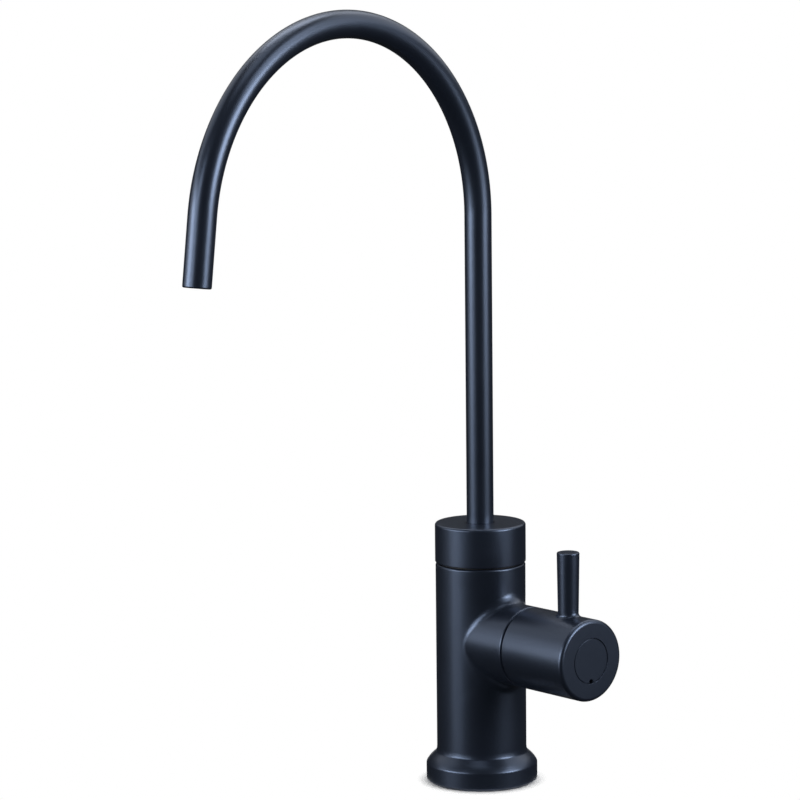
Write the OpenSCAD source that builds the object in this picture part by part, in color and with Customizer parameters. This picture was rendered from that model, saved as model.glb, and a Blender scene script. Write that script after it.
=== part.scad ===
// Drinking water filter tap: a column with a swivel arch spout and a lever valve at its side.
// Millimetres, Z up. The origin is the centre of the foot's underside, on the deck.
// The lever turns about a line along +X. With no rest turn the spout points along -Y.

/* [Spout] */
// Outside diameter of the spout tube
tube_d = 10; // [8:0.5:12]
// Wall of the spout tube
tube_wall = 1; // [0.6:0.1:1.5]
// Centre line radius of the arch
arch_r = 71; // [50:1:100]
// Height of the arch's centre above the deck
arch_h = 210.5; // [160:0.5:300]
// Angle that the tube bends through
arch_turn = 172.5; // [120:0.5:178]
// Straight length after the bend
outlet_len = 24; // [12:1:60]
// Rounding of the outlet's outer edge
outlet_round = 0.6; // [0.2:0.1:1]
// Turn of the spout at rest, from straight ahead towards the lever
rest_turn = 7.6; // [-60:0.1:60]
// Length of the flow straightener in the outlet
insert_len = 8; // [4:0.5:10]
// Depth of the straightener behind the tube's mouth
insert_depth = 1; // [0.5:0.1:2]
// Diameter of each hole in the straightener
insert_hole_d = 1.6; // [0.8:0.1:1.7]
// Holes in the ring round the straightener's middle hole
insert_holes = 6; // [4:1:6]

/* [Column] */
// Diameter of the column
body_d = 33.2; // [30.4:0.1:40]
// Height of the column, up to the seam under the collar
body_h = 82; // [68:0.5:110]
// Chamfer of the column's top edge
body_edge = 0.8; // [0.3:0.1:1.2]
// How far the foot stands out past the column
foot_flare = 4; // [2.5:0.1:10]
// Height of the foot's upright rim
foot_rim = 6.4; // [3:0.1:12]
// Rounding at the top of the rim
foot_round = 3; // [0.5:0.1:5]
// Hollow rounding where the foot runs into the column
foot_fillet = 5.7; // [0.5:0.1:8]
// Lean of the foot's sloping face from upright
foot_slope = 44; // [30:1:60]
// Chamfer of the foot's lower edge
foot_edge = 1; // [0.2:0.1:1.5]

/* [Deck side] */
// Wall diameter of the threaded socket for the shank
shank_d = 18.6; // [12:0.1:24]
// Depth of the shank socket
shank_depth = 14; // [8:0.5:18]
// Wall diameter of the threaded hose port
hose_d = 9; // [7:0.1:11]
// Depth of the hose port above the shank socket
hose_depth = 10; // [6:0.5:12]
// Mean diameter of the deck gasket
gasket_d = 32; // [29:0.5:34]
// Width of the deck gasket
gasket_w = 3; // [1.5:0.1:4]
// Thickness of the deck gasket
gasket_t = 2; // [1:0.1:4]

/* [Water ways] */
// Bore that brings water up to the valve
inlet_d = 6; // [4:0.1:7]
// Bore that takes water up to the spout
outlet_way_d = 5; // [3:0.1:6]

/* [Swivel] */
// How far the collar stands out past the column
collar_proud = 0.15; // [0:0.05:1]
// Height of the collar
collar_h = 14.5; // [12:0.1:25]
// Rounding of the collar's top edge
collar_round = 1; // [0.3:0.1:2]
// Thickness of the collar's top
collar_top = 5; // [2:0.1:6]
// Thickness of the slip washer under the collar
washer_t = 0.45; // [0.3:0.05:1]
// How far the slip washer's edge lies inside the column's edge
washer_inset = 1.3; // [1.2:0.1:3]
// Diameter of the spigot that turns in the column
spigot_d = 16; // [15:0.1:18.5]
// Length of the spigot inside the column
spigot_depth = 14.2; // [13:0.1:15]
// Diameter of the spigot's head inside the collar
head_d = 26; // [22:0.1:27]
// Length of tube held below the collar's seam
tube_seat = 6; // [5.2:0.1:7]
// Wire of the rubber rings on the spigot
spout_ring_wire = 1.4; // [1:0.1:1.6]
// Wire of the split ring that keeps the spigot in
split_ring_wire = 1.4; // [1:0.1:1.6]
// Opening in the split ring, as an angle
split_ring_gap = 35; // [15:1:90]

/* [Side valve] */
// Depth of the lever's axis below the column's top
valve_drop = 28; // [27:0.5:34]
// Diameter of the branch and of the handle's barrel
branch_d = 29.8; // [28:0.1:30.2]
// Distance from the tap's axis to the branch's end face
branch_reach = 26.9; // [24:0.1:35]
// Rounding where the branch leaves the column
branch_fillet = 4; // [2:0.1:5]
// Chamfer of the branch's end
branch_edge = 0.5; // [0.2:0.1:1]
// Distance from the tap's axis to the valve seat
seat_x = 4; // [3.2:0.1:5.5]
// Outside diameter of the headwork's thread
headwork_d = 20; // [18.4:0.1:20.8]
// Ring space for water round the headwork's nose
annulus_w = 1.4; // [0.8:0.1:1.6]
// Wall of the headwork's nose
nose_wall = 1; // [0.7:0.1:1.2]
// Thickness of the headwork's round flange
flange_t = 1.5; // [1:0.1:3]
// Size of the headwork's hexagon across its flats
hex_af = 19; // [17:0.5:20]
// Thickness of the hexagon
hex_t = 5; // [3:0.1:6]
// Diameter of the neck past the hexagon
neck_d = 16; // [14:0.1:17]
// Length of the neck
neck_len = 4.6; // [4:0.1:8]
// Wire of the rubber ring under the flange
flange_ring_wire = 1.5; // [1:0.1:1.8]

/* [Valve inside] */
// Turn of the lever from shut to open
lever_swing = 90; // [85:1:90]
// Thickness of the rubber seal behind the fixed disc
seal_t = 2.2; // [1.5:0.1:3]
// Width of that seal
seal_w = 1.5; // [1:0.1:2]
// Thickness of each ceramic disc
disc_t = 3.5; // [3:0.1:4]
// Width of each window in a disc, as an angle
port_angle = 70; // [40:1:80]
// Width of the lugs that stop the fixed disc from turning
lug_w = 3; // [2:0.1:4]
// Width of the stem's drive bar
bar_w = 5.2; // [4:0.1:5.6]
// Thickness of the drive bar
bar_t = 4; // [3:0.1:5]
// Width of the drive bar's tongue
tongue_w = 2.3; // [1.5:0.1:2.8]
// Length of the tongue in the moving disc
tongue_len = 1.5; // [1:0.1:2]
// Thickness of the slip washer behind the bar
thrust_t = 0.8; // [0.5:0.1:1.5]
// Diameter of the stem
stem_d = 8; // [7:0.1:8.6]
// Wire of the rubber rings on the stem
stem_ring_wire = 1.4; // [1:0.1:1.6]
// Thickness of the clip that holds the stem in
clip_t = 1; // [0.6:0.1:1.5]
// Outside diameter of that clip
clip_d = 12; // [11:0.1:15]
// Teeth round the stem's end
spline_teeth = 20; // [12:1:24]
// Depth of those teeth
spline_depth = 0.45; // [0.3:0.05:0.6]

/* [Handle] */
// Length of the handle's barrel
handle_len = 31.6; // [29:0.1:45]
// Gap between the branch and the barrel
handle_gap = 0.3; // [0.2:0.05:0.8]
// Rounding of the barrel's front edge
face_round = 1.4; // [0.4:0.1:2.5]
// Chamfer of the barrel's back edge
mouth_edge = 0.4; // [0.2:0.1:1]
// Distance of the lever's axis behind the front face
lever_inset = 11.8; // [9.5:0.1:14]
// Height of the lever's tip above the valve's axis
lever_h = 38; // [28:0.5:70]
// Diameter of the lever at its tip
lever_tip_d = 8.2; // [6:0.1:10]
// Diameter of the lever at its foot
lever_foot_d = 7.5; // [6:0.1:9]
// Chamfer of the lever's tip
lever_edge = 0.5; // [0.2:0.1:1.5]
// Rounding where the lever leaves the barrel
lever_fillet = 1.4; // [0.5:0.1:2]
// Diameter of the round cap in the front face
cap_d = 16.2; // [14:0.1:20]
// Thickness of the cap
cap_t = 2; // [1.4:0.1:3]
// Gap round the cap
cap_gap = 0.15; // [0.1:0.05:0.3]
// Diameter of the pry notch in the cap's edge
notch_d = 1.5; // [0.8:0.1:2]
// Depth of the pocket behind the front face
pocket_depth = 6.3; // [6:0.1:8]
// Diameter of the pocket for the screw's head
pocket_d = 11; // [10.5:0.1:12]
// Diameter of the handle screw
screw_d = 4; // [3:0.1:4.4]
// Length of the handle screw under its head
screw_len = 11; // [8:0.1:12]
// Diameter of the screw's head
screw_head_d = 7; // [6:0.1:7.6]
// Height of the screw's head
screw_head_h = 3; // [2:0.1:3.2]
// Thickness of the washer under the head
screw_washer_t = 0.8; // [0.4:0.1:0.9]

/* [Clearances] */
// Gap at each side of parts that are fixed together
fit_gap = 0.05; // [0.02:0.01:0.1]
// Gap at each side of parts that turn in each other
run_gap = 0.05; // [0.02:0.01:0.1]
// Gap between parts that pass without touching
free_gap = 0.35; // [0.3:0.05:0.45]

/* [Hidden] */
$fn = 96;

satin_black = [0.10, 0.11, 0.13];
brass = [0.78, 0.62, 0.32];
steel = [0.70, 0.71, 0.73];
rubber = [0.07, 0.07, 0.07];
white_ceramic = [0.92, 0.91, 0.88];
pale_plastic = [0.86, 0.86, 0.84];
grey_plastic = [0.45, 0.46, 0.48];

// overrun of a cut past the face that it opens, and number of steps in a drawn arc
cut = 1;
arc_steps = 8;

// spout tube
tube_r = tube_d / 2;
tube_bore_r = tube_r - tube_wall;
edge_land = 0.1;
mouth_sizing = 0.02;
mouth_lap = 0.5;
mouth_r = tube_r + mouth_sizing;
mouth_bore_r = tube_bore_r - mouth_sizing;
outlet_edge = min(outlet_round, tube_wall - edge_land);

// column and foot
body_r = body_d / 2;
foot_r = body_r + foot_flare;
// the flare is the most room that the shoulder's two roundings have
round_share = min(1, foot_flare / ((foot_round + foot_fillet) * (1 - cos(foot_slope))));
rim_round = foot_round * round_share;
root_fillet = foot_fillet * round_share;
slope_drop = (rim_round + root_fillet) * (1 - cos(foot_slope));
slope_len = (foot_flare - slope_drop) / sin(foot_slope);
foot_top = foot_rim + (rim_round + root_fillet) * sin(foot_slope) + slope_len * cos(foot_slope);

// deck side and water ways
shank_r = shank_d / 2;
hose_r = hose_d / 2;
hose_top = shank_depth + hose_depth;
inlet_r = inlet_d / 2;
inlet_inset = 0.3;
inlet_x = inlet_r + inlet_inset - hose_r;
outlet_way_r = outlet_way_d / 2;
way_inset = 0.25;

// swivel
spigot_r = spigot_d / 2;
socket_r = spigot_r + run_gap;
spigot_low = body_h - spigot_depth;
socket_floor = spigot_low - free_gap;
outlet_way_x = socket_r - outlet_way_r - way_inset;
collar_low = body_h + washer_t + run_gap;
collar_r = body_r + collar_proud;
collar_high = collar_low + collar_h;
head_r = head_d / 2;
head_high = collar_high - collar_top - free_gap;
tube_low = body_h - tube_seat;
ring_side = 0.3;
ring_land = 1;
spout_ring_width = spout_ring_wire + 2 * ring_side;
spout_ring_z = [spigot_low + ring_land + spout_ring_width / 2,
                spigot_low + 2 * ring_land + 1.5 * spout_ring_width];
split_ring_width = split_ring_wire + 2 * ring_side;
split_ring_z = body_h - ring_land - split_ring_width;

// valve, as distances from the tap's axis along the lever's axis
valve_z = body_h - valve_drop;
branch_r = branch_d / 2;
chamber_r = headwork_d / 2 + fit_gap;
nose_r = headwork_d / 2 - annulus_w;
disc_bore_r = nose_r - nose_wall;
fixed_disc_r = disc_bore_r - fit_gap;
moving_disc_r = disc_bore_r - free_gap;
seal_r = disc_bore_r - fit_gap;
port_rim = 1.9;
port_hub = 2.6;
port_r = disc_bore_r - port_rim;
fixed_disc_x = seat_x + seal_t;
moving_disc_x = fixed_disc_x + disc_t + run_gap;
bar_x = moving_disc_x + disc_t;
bar_r = disc_bore_r - free_gap;
thrust_x = bar_x + bar_t + run_gap;
shoulder_x = thrust_x + thrust_t;
stem_r = stem_d / 2;
stem_bore_r = stem_r + run_gap;
flange_ring_room = 0.1;
flange_ring_seat = flange_ring_wire + flange_ring_room;
flange_ring_r = headwork_d / 2 + fit_gap + flange_ring_wire / 2;
flange_seat_r = flange_ring_r + flange_ring_wire / 2 + fit_gap;
flange_lap = 0.6;
flange_r = flange_seat_r + flange_lap;
hex_x = branch_reach + flange_t;
neck_x = hex_x + hex_t;
neck_end = neck_x + neck_len;
neck_r = neck_d / 2;
guide_setback = 1;
guide_len = neck_len - guide_setback;
stem_ring_width = stem_ring_wire + 2 * ring_side;
stem_ring_x = [shoulder_x + ring_land + stem_ring_width / 2,
               shoulder_x + 3 * ring_land + 1.5 * stem_ring_width];
clip_x = neck_end + run_gap;
clip_groove_depth = 1;
clip_groove_r = stem_r - clip_groove_depth;
rib_bite = 1;
rib_r = bar_r - rib_bite;
stop_clear = 2.5;
rib_middle = (180 + lever_swing) / 2;
rib_half = (180 - lever_swing) / 2 - asin(bar_w / 2 / rib_r) - stop_clear;
window_w = 6;

// handle
mouth_x = branch_reach + handle_gap;
face_x = mouth_x + handle_len;
cavity_r = flange_r + free_gap;
web_room = 2;
web_back = clip_x + clip_t + web_room;
web_front = face_x - pocket_depth;
web_land = 2.5;
stem_end = web_front - web_land;
tooth_share = 0.5;
tap_hole_spare = 1.2;
screw_washer_lap = 1;
screw_washer_r = screw_head_d / 2 + screw_washer_lap;
screw_x = web_front + screw_washer_t;
lever_x = face_x - lever_inset;
lever_root = 4;
cap_r = cap_d / 2;
cap_sink = 0.05;
cap_x = face_x - cap_t - cap_sink;
cap_edge = 0.2;
stub_len = 1.4;
stub_wall = 1;
notch_depth = 1.2;
socket_af = 2.5;
socket_depth = 1.8;

// rounding between crossing cylinders
fillet_turns = 48;
fillet_steps = 5;
fillet_sink = 0.1;
fillet_root = 1;

// points of an arc round a centre, between two angles
function arc(centre, r, from, to) =
    [for (k = [0 : arc_steps]) let (a = from + (to - from) * k / arc_steps) centre + r * [cos(a), sin(a)]];

// one section of the rounding where a thin cylinder along Z leaves a thick one along X
function saddle_section(thin, thick, r, turn) =
    let (a = thin + r - fillet_sink,
         b = thick + r - fillet_sink,
         centre = [a * cos(turn), a * sin(turn), sqrt(b * b - pow(a * sin(turn), 2))],
         to_thin = [-cos(turn), -sin(turn), 0],
         to_thick = [0, -centre.y, -centre.z] / b,
         swing = acos(to_thin * to_thick),
         c = thin - fillet_root,
         d = thick - fillet_root)
    concat([for (k = [0 : fillet_steps]) let (t = k / fillet_steps)
                centre + r * (sin((1 - t) * swing) * to_thin + sin(t * swing) * to_thick) / sin(swing)],
           [[c * cos(turn), c * sin(turn), sqrt(d * d - pow(c * sin(turn), 2))]]);

// ring that rounds the corner between two crossing cylinders
module saddle_fillet(thin, thick, r) {
    size = fillet_steps + 2;
    points = [for (i = [0 : fillet_turns - 1])
                 each saddle_section(thin, thick, r, 360 * (i + 0.5) / fillet_turns)];
    function at(i, k) = (i % fillet_turns) * size + k % size;
    faces = [for (i = [0 : fillet_turns - 1]) for (k = [0 : size - 1])
                each [[at(i, k), at(i + 1, k + 1), at(i, k + 1)],
                      [at(i, k), at(i + 1, k), at(i + 1, k + 1)]]];
    polyhedron(points, faces);
}

// puts a piece drawn along Z on the lever's axis, with its base at distance x from the tap's axis
module on_lever_axis(x) {
    translate([x, 0, valve_z]) rotate([0, 90, 0]) children();
}

// turns a piece drawn with the spout straight ahead to its rest place
module at_spout() {
    rotate([0, 0, rest_turn]) children();
}

// follows the tube: the bend's start is the origin, and the bend turns about Z
module at_bend() {
    translate([0, -arch_r, arch_h]) rotate([90, 0, 90]) children();
}

// stands a piece drawn along Z at the bend's end, pointing out of the spout
module at_bend_end() {
    at_bend() rotate([0, 0, arch_turn]) translate([arch_r, 0, 0]) rotate([-90, 0, 0]) children();
}

module pipe(outer, inner, length) {
    linear_extrude(length) difference() {
        circle(outer);
        circle(inner);
    }
}

// ring of round wire, lying in the XY plane
module wire_ring(mean_r, wire, angle = 360) {
    rotate_extrude(angle = angle) translate([mean_r, 0]) circle(wire / 2);
}

// part of a flat ring between two radii, from one angle to another
module sector(inner, outer, from, to) {
    far = 2 * outer;
    middle = (from + to) / 2;
    intersection() {
        difference() {
            circle(outer);
            circle(inner);
        }
        polygon([[0, 0], far * [cos(from), sin(from)], far * [cos(middle), sin(middle)],
                 far * [cos(to), sin(to)]]);
    }
}

// the two windows of a disc, opposite each other
module disc_ports(angle) {
    for (side = [0, 180]) {
        sector(port_hub, port_r, angle + side - port_angle / 2, angle + side + port_angle / 2);
    }
}

// toothed outline of the stem's end, grown by a gap for the hole that takes it
module spline_outline(gap = 0) {
    tooth = tooth_share * 360 / spline_teeth;
    spread = asin(gap / stem_r);
    circle(stem_r - spline_depth + gap);
    for (i = [0 : spline_teeth - 1]) {
        rotate(360 * i / spline_teeth)
            sector(stem_r - 2 * spline_depth, stem_r + gap, -tooth / 2 - spread, tooth / 2 + spread);
    }
}

// column with its foot, as a turned solid
module column() {
    rotate_extrude() polygon(concat(
        [[0, 0], [foot_r - foot_edge, 0], [foot_r, foot_edge]],
        arc([foot_r - rim_round, foot_rim], rim_round, 0, foot_slope),
        arc([body_r + root_fillet, foot_top], root_fillet, 180 + foot_slope, 180),
        [[body_r, body_h - body_edge], [body_r - body_edge, body_h], [0, body_h]]));
}

// solid side branch with its chamfered end and the rounding at its root
module branch() {
    on_lever_axis(0) {
        cylinder(r = branch_r, h = branch_reach - branch_edge);
        translate([0, 0, branch_reach - branch_edge])
            cylinder(r1 = branch_r, r2 = branch_r - branch_edge, h = branch_edge);
        saddle_fillet(branch_r, body_r, branch_fillet);
    }
}

// shank socket, hose port and gasket groove, cut from below
module deck_side_cuts() {
    translate([0, 0, -cut]) cylinder(r = shank_r, h = shank_depth + cut);
    cylinder(r = hose_r, h = hose_top);
    translate([0, 0, -cut])
        pipe((gasket_d + gasket_w) / 2 + fit_gap, (gasket_d - gasket_w) / 2 - fit_gap, gasket_t + cut);
}

// ways for the water to and from the valve's chamber
module water_ways() {
    translate([inlet_x, 0, hose_top - cut]) cylinder(r = inlet_r, h = valve_z + inlet_r - hose_top + cut);
    on_lever_axis(inlet_x) cylinder(r = inlet_r, h = seat_x - inlet_x + cut);
    translate([outlet_way_x, 0, valve_z]) cylinder(r = outlet_way_r, h = socket_floor - valve_z + cut);
}

// chamber that the headwork screws into
module chamber() {
    on_lever_axis(seat_x) cylinder(r = chamber_r, h = branch_reach - seat_x + cut);
    on_lever_axis(branch_reach - flange_ring_seat) cylinder(r = flange_seat_r, h = flange_ring_seat + cut);
}

// socket that the spigot turns in, with the split ring's groove
module swivel_socket() {
    translate([0, 0, socket_floor]) cylinder(r = socket_r, h = body_h - socket_floor + cut);
    translate([0, 0, split_ring_z - split_ring_width / 2])
        cylinder(r = socket_r + split_ring_wire / 2 + fit_gap, h = split_ring_width);
}

module tap_body() {
    color(satin_black) difference() {
        union() {
            column();
            branch();
        }
        deck_side_cuts();
        water_ways();
        chamber();
        swivel_socket();
    }
}

module base_gasket() {
    color(rubber) pipe((gasket_d + gasket_w) / 2, (gasket_d - gasket_w) / 2, gasket_t);
}

// straight end of the tube, sized a touch over the bend, with its outer edge rounded at the mouth
module tube_mouth() {
    at_bend_end() rotate_extrude() polygon(concat(
        [[mouth_bore_r, -mouth_lap], [mouth_r, -mouth_lap]],
        arc([mouth_r - outlet_edge, outlet_len - outlet_edge], outlet_edge, 0, 90),
        [[mouth_bore_r, outlet_len]]));
}

module spout_tube() {
    color(satin_black) at_spout() {
        translate([0, 0, tube_low]) pipe(tube_r, tube_bore_r, arch_h - tube_low);
        at_bend() rotate_extrude(angle = arch_turn) translate([arch_r, 0]) difference() {
            circle(tube_r);
            circle(tube_bore_r);
        }
        tube_mouth();
    }
}

module outlet_insert() {
    hole_r = insert_hole_d / 2;
    ring_r = (mouth_bore_r + hole_r) / 2;
    color(grey_plastic) at_spout() at_bend_end()
        translate([0, 0, outlet_len - insert_depth - insert_len]) linear_extrude(insert_len) difference() {
            circle(mouth_bore_r - fit_gap);
            circle(hole_r);
            for (i = [0 : insert_holes - 1]) {
                rotate(360 * i / insert_holes) translate([ring_r, 0]) circle(hole_r);
            }
        }
}

module spout_collar() {
    color(satin_black) translate([0, 0, collar_low]) rotate_extrude() polygon(concat(
        [[head_r + fit_gap, 0], [collar_r, 0]],
        arc([collar_r - collar_round, collar_h - collar_round], collar_round, 0, 90),
        [[tube_r + fit_gap, collar_h], [tube_r + fit_gap, collar_h - collar_top],
         [head_r + fit_gap, collar_h - collar_top]]));
}

module swivel_spigot() {
    color(brass) difference() {
        union() {
            translate([0, 0, spigot_low]) cylinder(r = spigot_r, h = head_high - spigot_low);
            translate([0, 0, collar_low]) cylinder(r = head_r, h = head_high - collar_low);
        }
        translate([0, 0, spigot_low - cut]) cylinder(r = tube_bore_r, h = head_high - spigot_low + 2 * cut);
        translate([0, 0, tube_low]) cylinder(r = tube_r + fit_gap, h = head_high - tube_low + cut);
        for (z = spout_ring_z) {
            translate([0, 0, z - spout_ring_width / 2])
                pipe(spigot_r + cut, spigot_r - spout_ring_wire, spout_ring_width);
        }
        translate([0, 0, split_ring_z - split_ring_width / 2])
            pipe(spigot_r + cut, socket_r - split_ring_wire / 2 - free_gap, split_ring_width);
    }
}

module spout_o_rings() {
    color(rubber) for (z = spout_ring_z) {
        translate([0, 0, z]) wire_ring(spigot_r - spout_ring_wire / 2, spout_ring_wire);
    }
}

module retaining_ring() {
    color(steel) translate([0, 0, split_ring_z]) rotate([0, 0, split_ring_gap / 2])
        wire_ring(socket_r, split_ring_wire, 360 - split_ring_gap);
}

module swivel_washer() {
    color(rubber) translate([0, 0, body_h]) pipe(body_r - washer_inset, socket_r + free_gap, washer_t);
}

// headwork's outside along its axis: nose, thread, flange, hexagon and neck
module housing_outside() {
    on_lever_axis(seat_x + free_gap) cylinder(r = nose_r, h = shoulder_x - seat_x);
    on_lever_axis(shoulder_x) cylinder(r = headwork_d / 2, h = branch_reach - shoulder_x);
    on_lever_axis(branch_reach) cylinder(r = flange_r, h = flange_t);
    on_lever_axis(hex_x) cylinder(r = hex_af / 2 / cos(30), h = hex_t, $fn = 6);
    on_lever_axis(neck_x) cylinder(r = neck_r, h = neck_len);
}

module valve_housing() {
    color(brass) difference() {
        housing_outside();
        on_lever_axis(seat_x) cylinder(r = disc_bore_r, h = shoulder_x - seat_x);
        on_lever_axis(shoulder_x - cut) cylinder(r = stem_bore_r, h = neck_end - shoulder_x + 2 * cut);
        // slots for the fixed disc's lugs
        on_lever_axis(seat_x) translate([-lug_w / 2 - fit_gap, -nose_r - cut, 0])
            cube([lug_w + 2 * fit_gap, 2 * (nose_r + cut), seal_t + disc_t]);
        // windows that let the water out to the ring space
        on_lever_axis(bar_x + fit_gap) rotate(lever_swing / 2 - 90)
            translate([-window_w / 2, -nose_r - cut, 0])
            cube([window_w, 2 * (nose_r + cut), bar_t - 2 * fit_gap]);
    }
    // ribs that stop the drive bar at shut and at open
    color(brass) on_lever_axis(bar_x + fit_gap) linear_extrude(bar_t - fit_gap) for (side = [0, 180]) {
        sector(rib_r, disc_bore_r + nose_wall / 2,
               side + rib_middle - rib_half, side + rib_middle + rib_half);
    }
}

module housing_o_ring() {
    color(rubber) on_lever_axis(branch_reach - flange_ring_seat + flange_ring_wire / 2)
        wire_ring(flange_ring_r, flange_ring_wire);
}

module seat_seal() {
    color(rubber) on_lever_axis(seat_x) pipe(seal_r, seal_r - seal_w, seal_t);
}

module fixed_disc() {
    color(white_ceramic) on_lever_axis(fixed_disc_x) linear_extrude(disc_t) difference() {
        union() {
            circle(fixed_disc_r);
            square([lug_w, 2 * (nose_r - fit_gap)], center = true);
        }
        disc_ports(0);
    }
}

module moving_disc() {
    color(white_ceramic) difference() {
        on_lever_axis(moving_disc_x) linear_extrude(disc_t) difference() {
            circle(moving_disc_r);
            disc_ports(-lever_swing);
        }
        on_lever_axis(bar_x - tongue_len - fit_gap) translate([-bar_r - cut, -tongue_w / 2 - fit_gap, 0])
            cube([2 * (bar_r + cut), tongue_w + 2 * fit_gap, tongue_len + fit_gap + cut]);
    }
}

module thrust_washer() {
    color(pale_plastic) on_lever_axis(thrust_x) pipe(disc_bore_r - fit_gap, stem_r + free_gap, thrust_t);
}

// drive bar with the tongue that turns the moving disc
module drive_bar() {
    on_lever_axis(bar_x) linear_extrude(bar_t) intersection() {
        circle(bar_r);
        square([2 * bar_r, bar_w], center = true);
    }
    on_lever_axis(bar_x - tongue_len) linear_extrude(tongue_len) intersection() {
        circle(moving_disc_r - free_gap);
        square([2 * bar_r, tongue_w], center = true);
    }
}

module valve_stem() {
    color(brass) difference() {
        union() {
            drive_bar();
            on_lever_axis(bar_x) cylinder(r = stem_r, h = web_back - bar_x);
            on_lever_axis(web_back) linear_extrude(stem_end - web_back) spline_outline();
        }
        for (x = stem_ring_x) {
            on_lever_axis(x - stem_ring_width / 2)
                pipe(stem_r + cut, stem_r - stem_ring_wire, stem_ring_width);
        }
        on_lever_axis(clip_x - fit_gap) pipe(stem_r + cut, clip_groove_r, clip_t + 2 * fit_gap);
        on_lever_axis(screw_x - screw_len - tap_hole_spare)
            cylinder(r = screw_d / 2 + fit_gap, h = screw_len + tap_hole_spare);
    }
}

module stem_o_rings() {
    color(rubber) for (x = stem_ring_x) {
        on_lever_axis(x) wire_ring(stem_r - stem_ring_wire / 2, stem_ring_wire);
    }
}

module stem_clip() {
    color(steel) on_lever_axis(clip_x) linear_extrude(clip_t) difference() {
        circle(clip_d / 2);
        circle(clip_groove_r + fit_gap);
        translate([0, -clip_groove_r]) square([clip_d, 2 * clip_groove_r]);
    }
}

module handle_guide_ring() {
    color(pale_plastic) on_lever_axis(neck_x) pipe(cavity_r - run_gap, neck_r + fit_gap, guide_len);
}

// barrel of the handle, solid, with its rounded front edge
module barrel() {
    on_lever_axis(mouth_x) rotate_extrude() polygon(concat(
        [[0, 0], [branch_r - mouth_edge, 0], [branch_r, mouth_edge]],
        arc([branch_r - face_round, handle_len - face_round], face_round, 0, 90),
        [[0, handle_len]]));
}

// lever pin, wider at its tip, with the rounding at its foot
module lever() {
    foot_r = lever_foot_d / 2;
    tip_r = lever_tip_d / 2;
    root_h = branch_r - lever_root;
    translate([lever_x, 0, valve_z]) {
        rotate_extrude() polygon([[0, root_h], [foot_r, root_h], [foot_r, branch_r],
            [tip_r, lever_h - lever_edge], [tip_r - lever_edge, lever_h], [0, lever_h]]);
        saddle_fillet(foot_r, branch_r, lever_fillet);
    }
}

module handle() {
    color(satin_black) difference() {
        union() {
            barrel();
            lever();
        }
        on_lever_axis(mouth_x - cut) cylinder(r = cavity_r, h = web_back - mouth_x + cut);
        on_lever_axis(web_back - cut) linear_extrude(stem_end + free_gap - web_back + cut)
            spline_outline(fit_gap);
        on_lever_axis(stem_end) cylinder(r = screw_d / 2 + free_gap, h = web_front - stem_end + cut);
        on_lever_axis(web_front) cylinder(r = pocket_d / 2, h = pocket_depth + cut);
        on_lever_axis(cap_x) cylinder(r = cap_r + cap_gap, h = cap_t + cap_sink + cut);
    }
}

// round cover with a stub that presses into the pocket and a pry notch at its lowest point
module handle_cap() {
    color(satin_black) difference() {
        union() {
            on_lever_axis(cap_x) rotate_extrude()
                polygon([[0, 0], [cap_r, 0], [cap_r, cap_t - cap_edge], [cap_r - cap_edge, cap_t],
                         [0, cap_t]]);
            on_lever_axis(cap_x - stub_len)
                pipe(pocket_d / 2 - fit_gap, pocket_d / 2 - fit_gap - stub_wall, stub_len);
        }
        on_lever_axis(cap_x + cap_t - notch_depth) translate([cap_r, 0, 0])
            cylinder(d = notch_d, h = notch_depth + cut);
    }
}

module handle_screw() {
    color(steel) difference() {
        union() {
            on_lever_axis(screw_x - screw_len) cylinder(r = screw_d / 2, h = screw_len);
            on_lever_axis(screw_x) cylinder(r = screw_head_d / 2, h = screw_head_h);
        }
        on_lever_axis(screw_x + screw_head_h - socket_depth)
            cylinder(r = socket_af / 2 / cos(30), h = socket_depth + cut, $fn = 6);
    }
}

module screw_washer() {
    color(steel) on_lever_axis(web_front) pipe(screw_washer_r, screw_d / 2 + free_gap, screw_washer_t);
}

tap_body();
base_gasket();
spout_tube();
outlet_insert();
spout_collar();
swivel_spigot();
spout_o_rings();
retaining_ring();
swivel_washer();
valve_housing();
housing_o_ring();
seat_seal();
fixed_disc();
moving_disc();
thrust_washer();
valve_stem();
stem_o_rings();
stem_clip();
handle_guide_ring();
handle();
handle_cap();
handle_screw();
screw_washer();
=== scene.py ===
# %% [markdown]
# # A drinking water filter tap
# A slim black tap with a high spout that swivels and a lever at its side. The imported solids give
# this lesson its frame, and nearly all sizes written here are theirs. The pieces that show are
# modelled again, with finer curves than the solids have, and every piece gets a finish made of
# shader nodes. Sizes are in millimetres, and one factor turns them into Blender's metres.

# %% Load the frame
import math

import bmesh
import bpy
from mathutils import Matrix, Vector


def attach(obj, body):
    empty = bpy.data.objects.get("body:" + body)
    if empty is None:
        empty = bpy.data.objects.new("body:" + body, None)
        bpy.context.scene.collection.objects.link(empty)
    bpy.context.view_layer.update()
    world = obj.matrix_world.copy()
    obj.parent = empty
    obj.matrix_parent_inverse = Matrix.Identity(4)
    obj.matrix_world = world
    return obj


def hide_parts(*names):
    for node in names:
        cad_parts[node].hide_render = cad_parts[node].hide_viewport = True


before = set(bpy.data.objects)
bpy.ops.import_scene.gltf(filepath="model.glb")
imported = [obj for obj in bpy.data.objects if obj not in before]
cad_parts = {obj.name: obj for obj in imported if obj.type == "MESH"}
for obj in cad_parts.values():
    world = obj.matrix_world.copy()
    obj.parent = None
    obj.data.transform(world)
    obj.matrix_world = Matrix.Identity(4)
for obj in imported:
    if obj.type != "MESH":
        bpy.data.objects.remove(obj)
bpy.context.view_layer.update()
MM = 0.001

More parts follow.
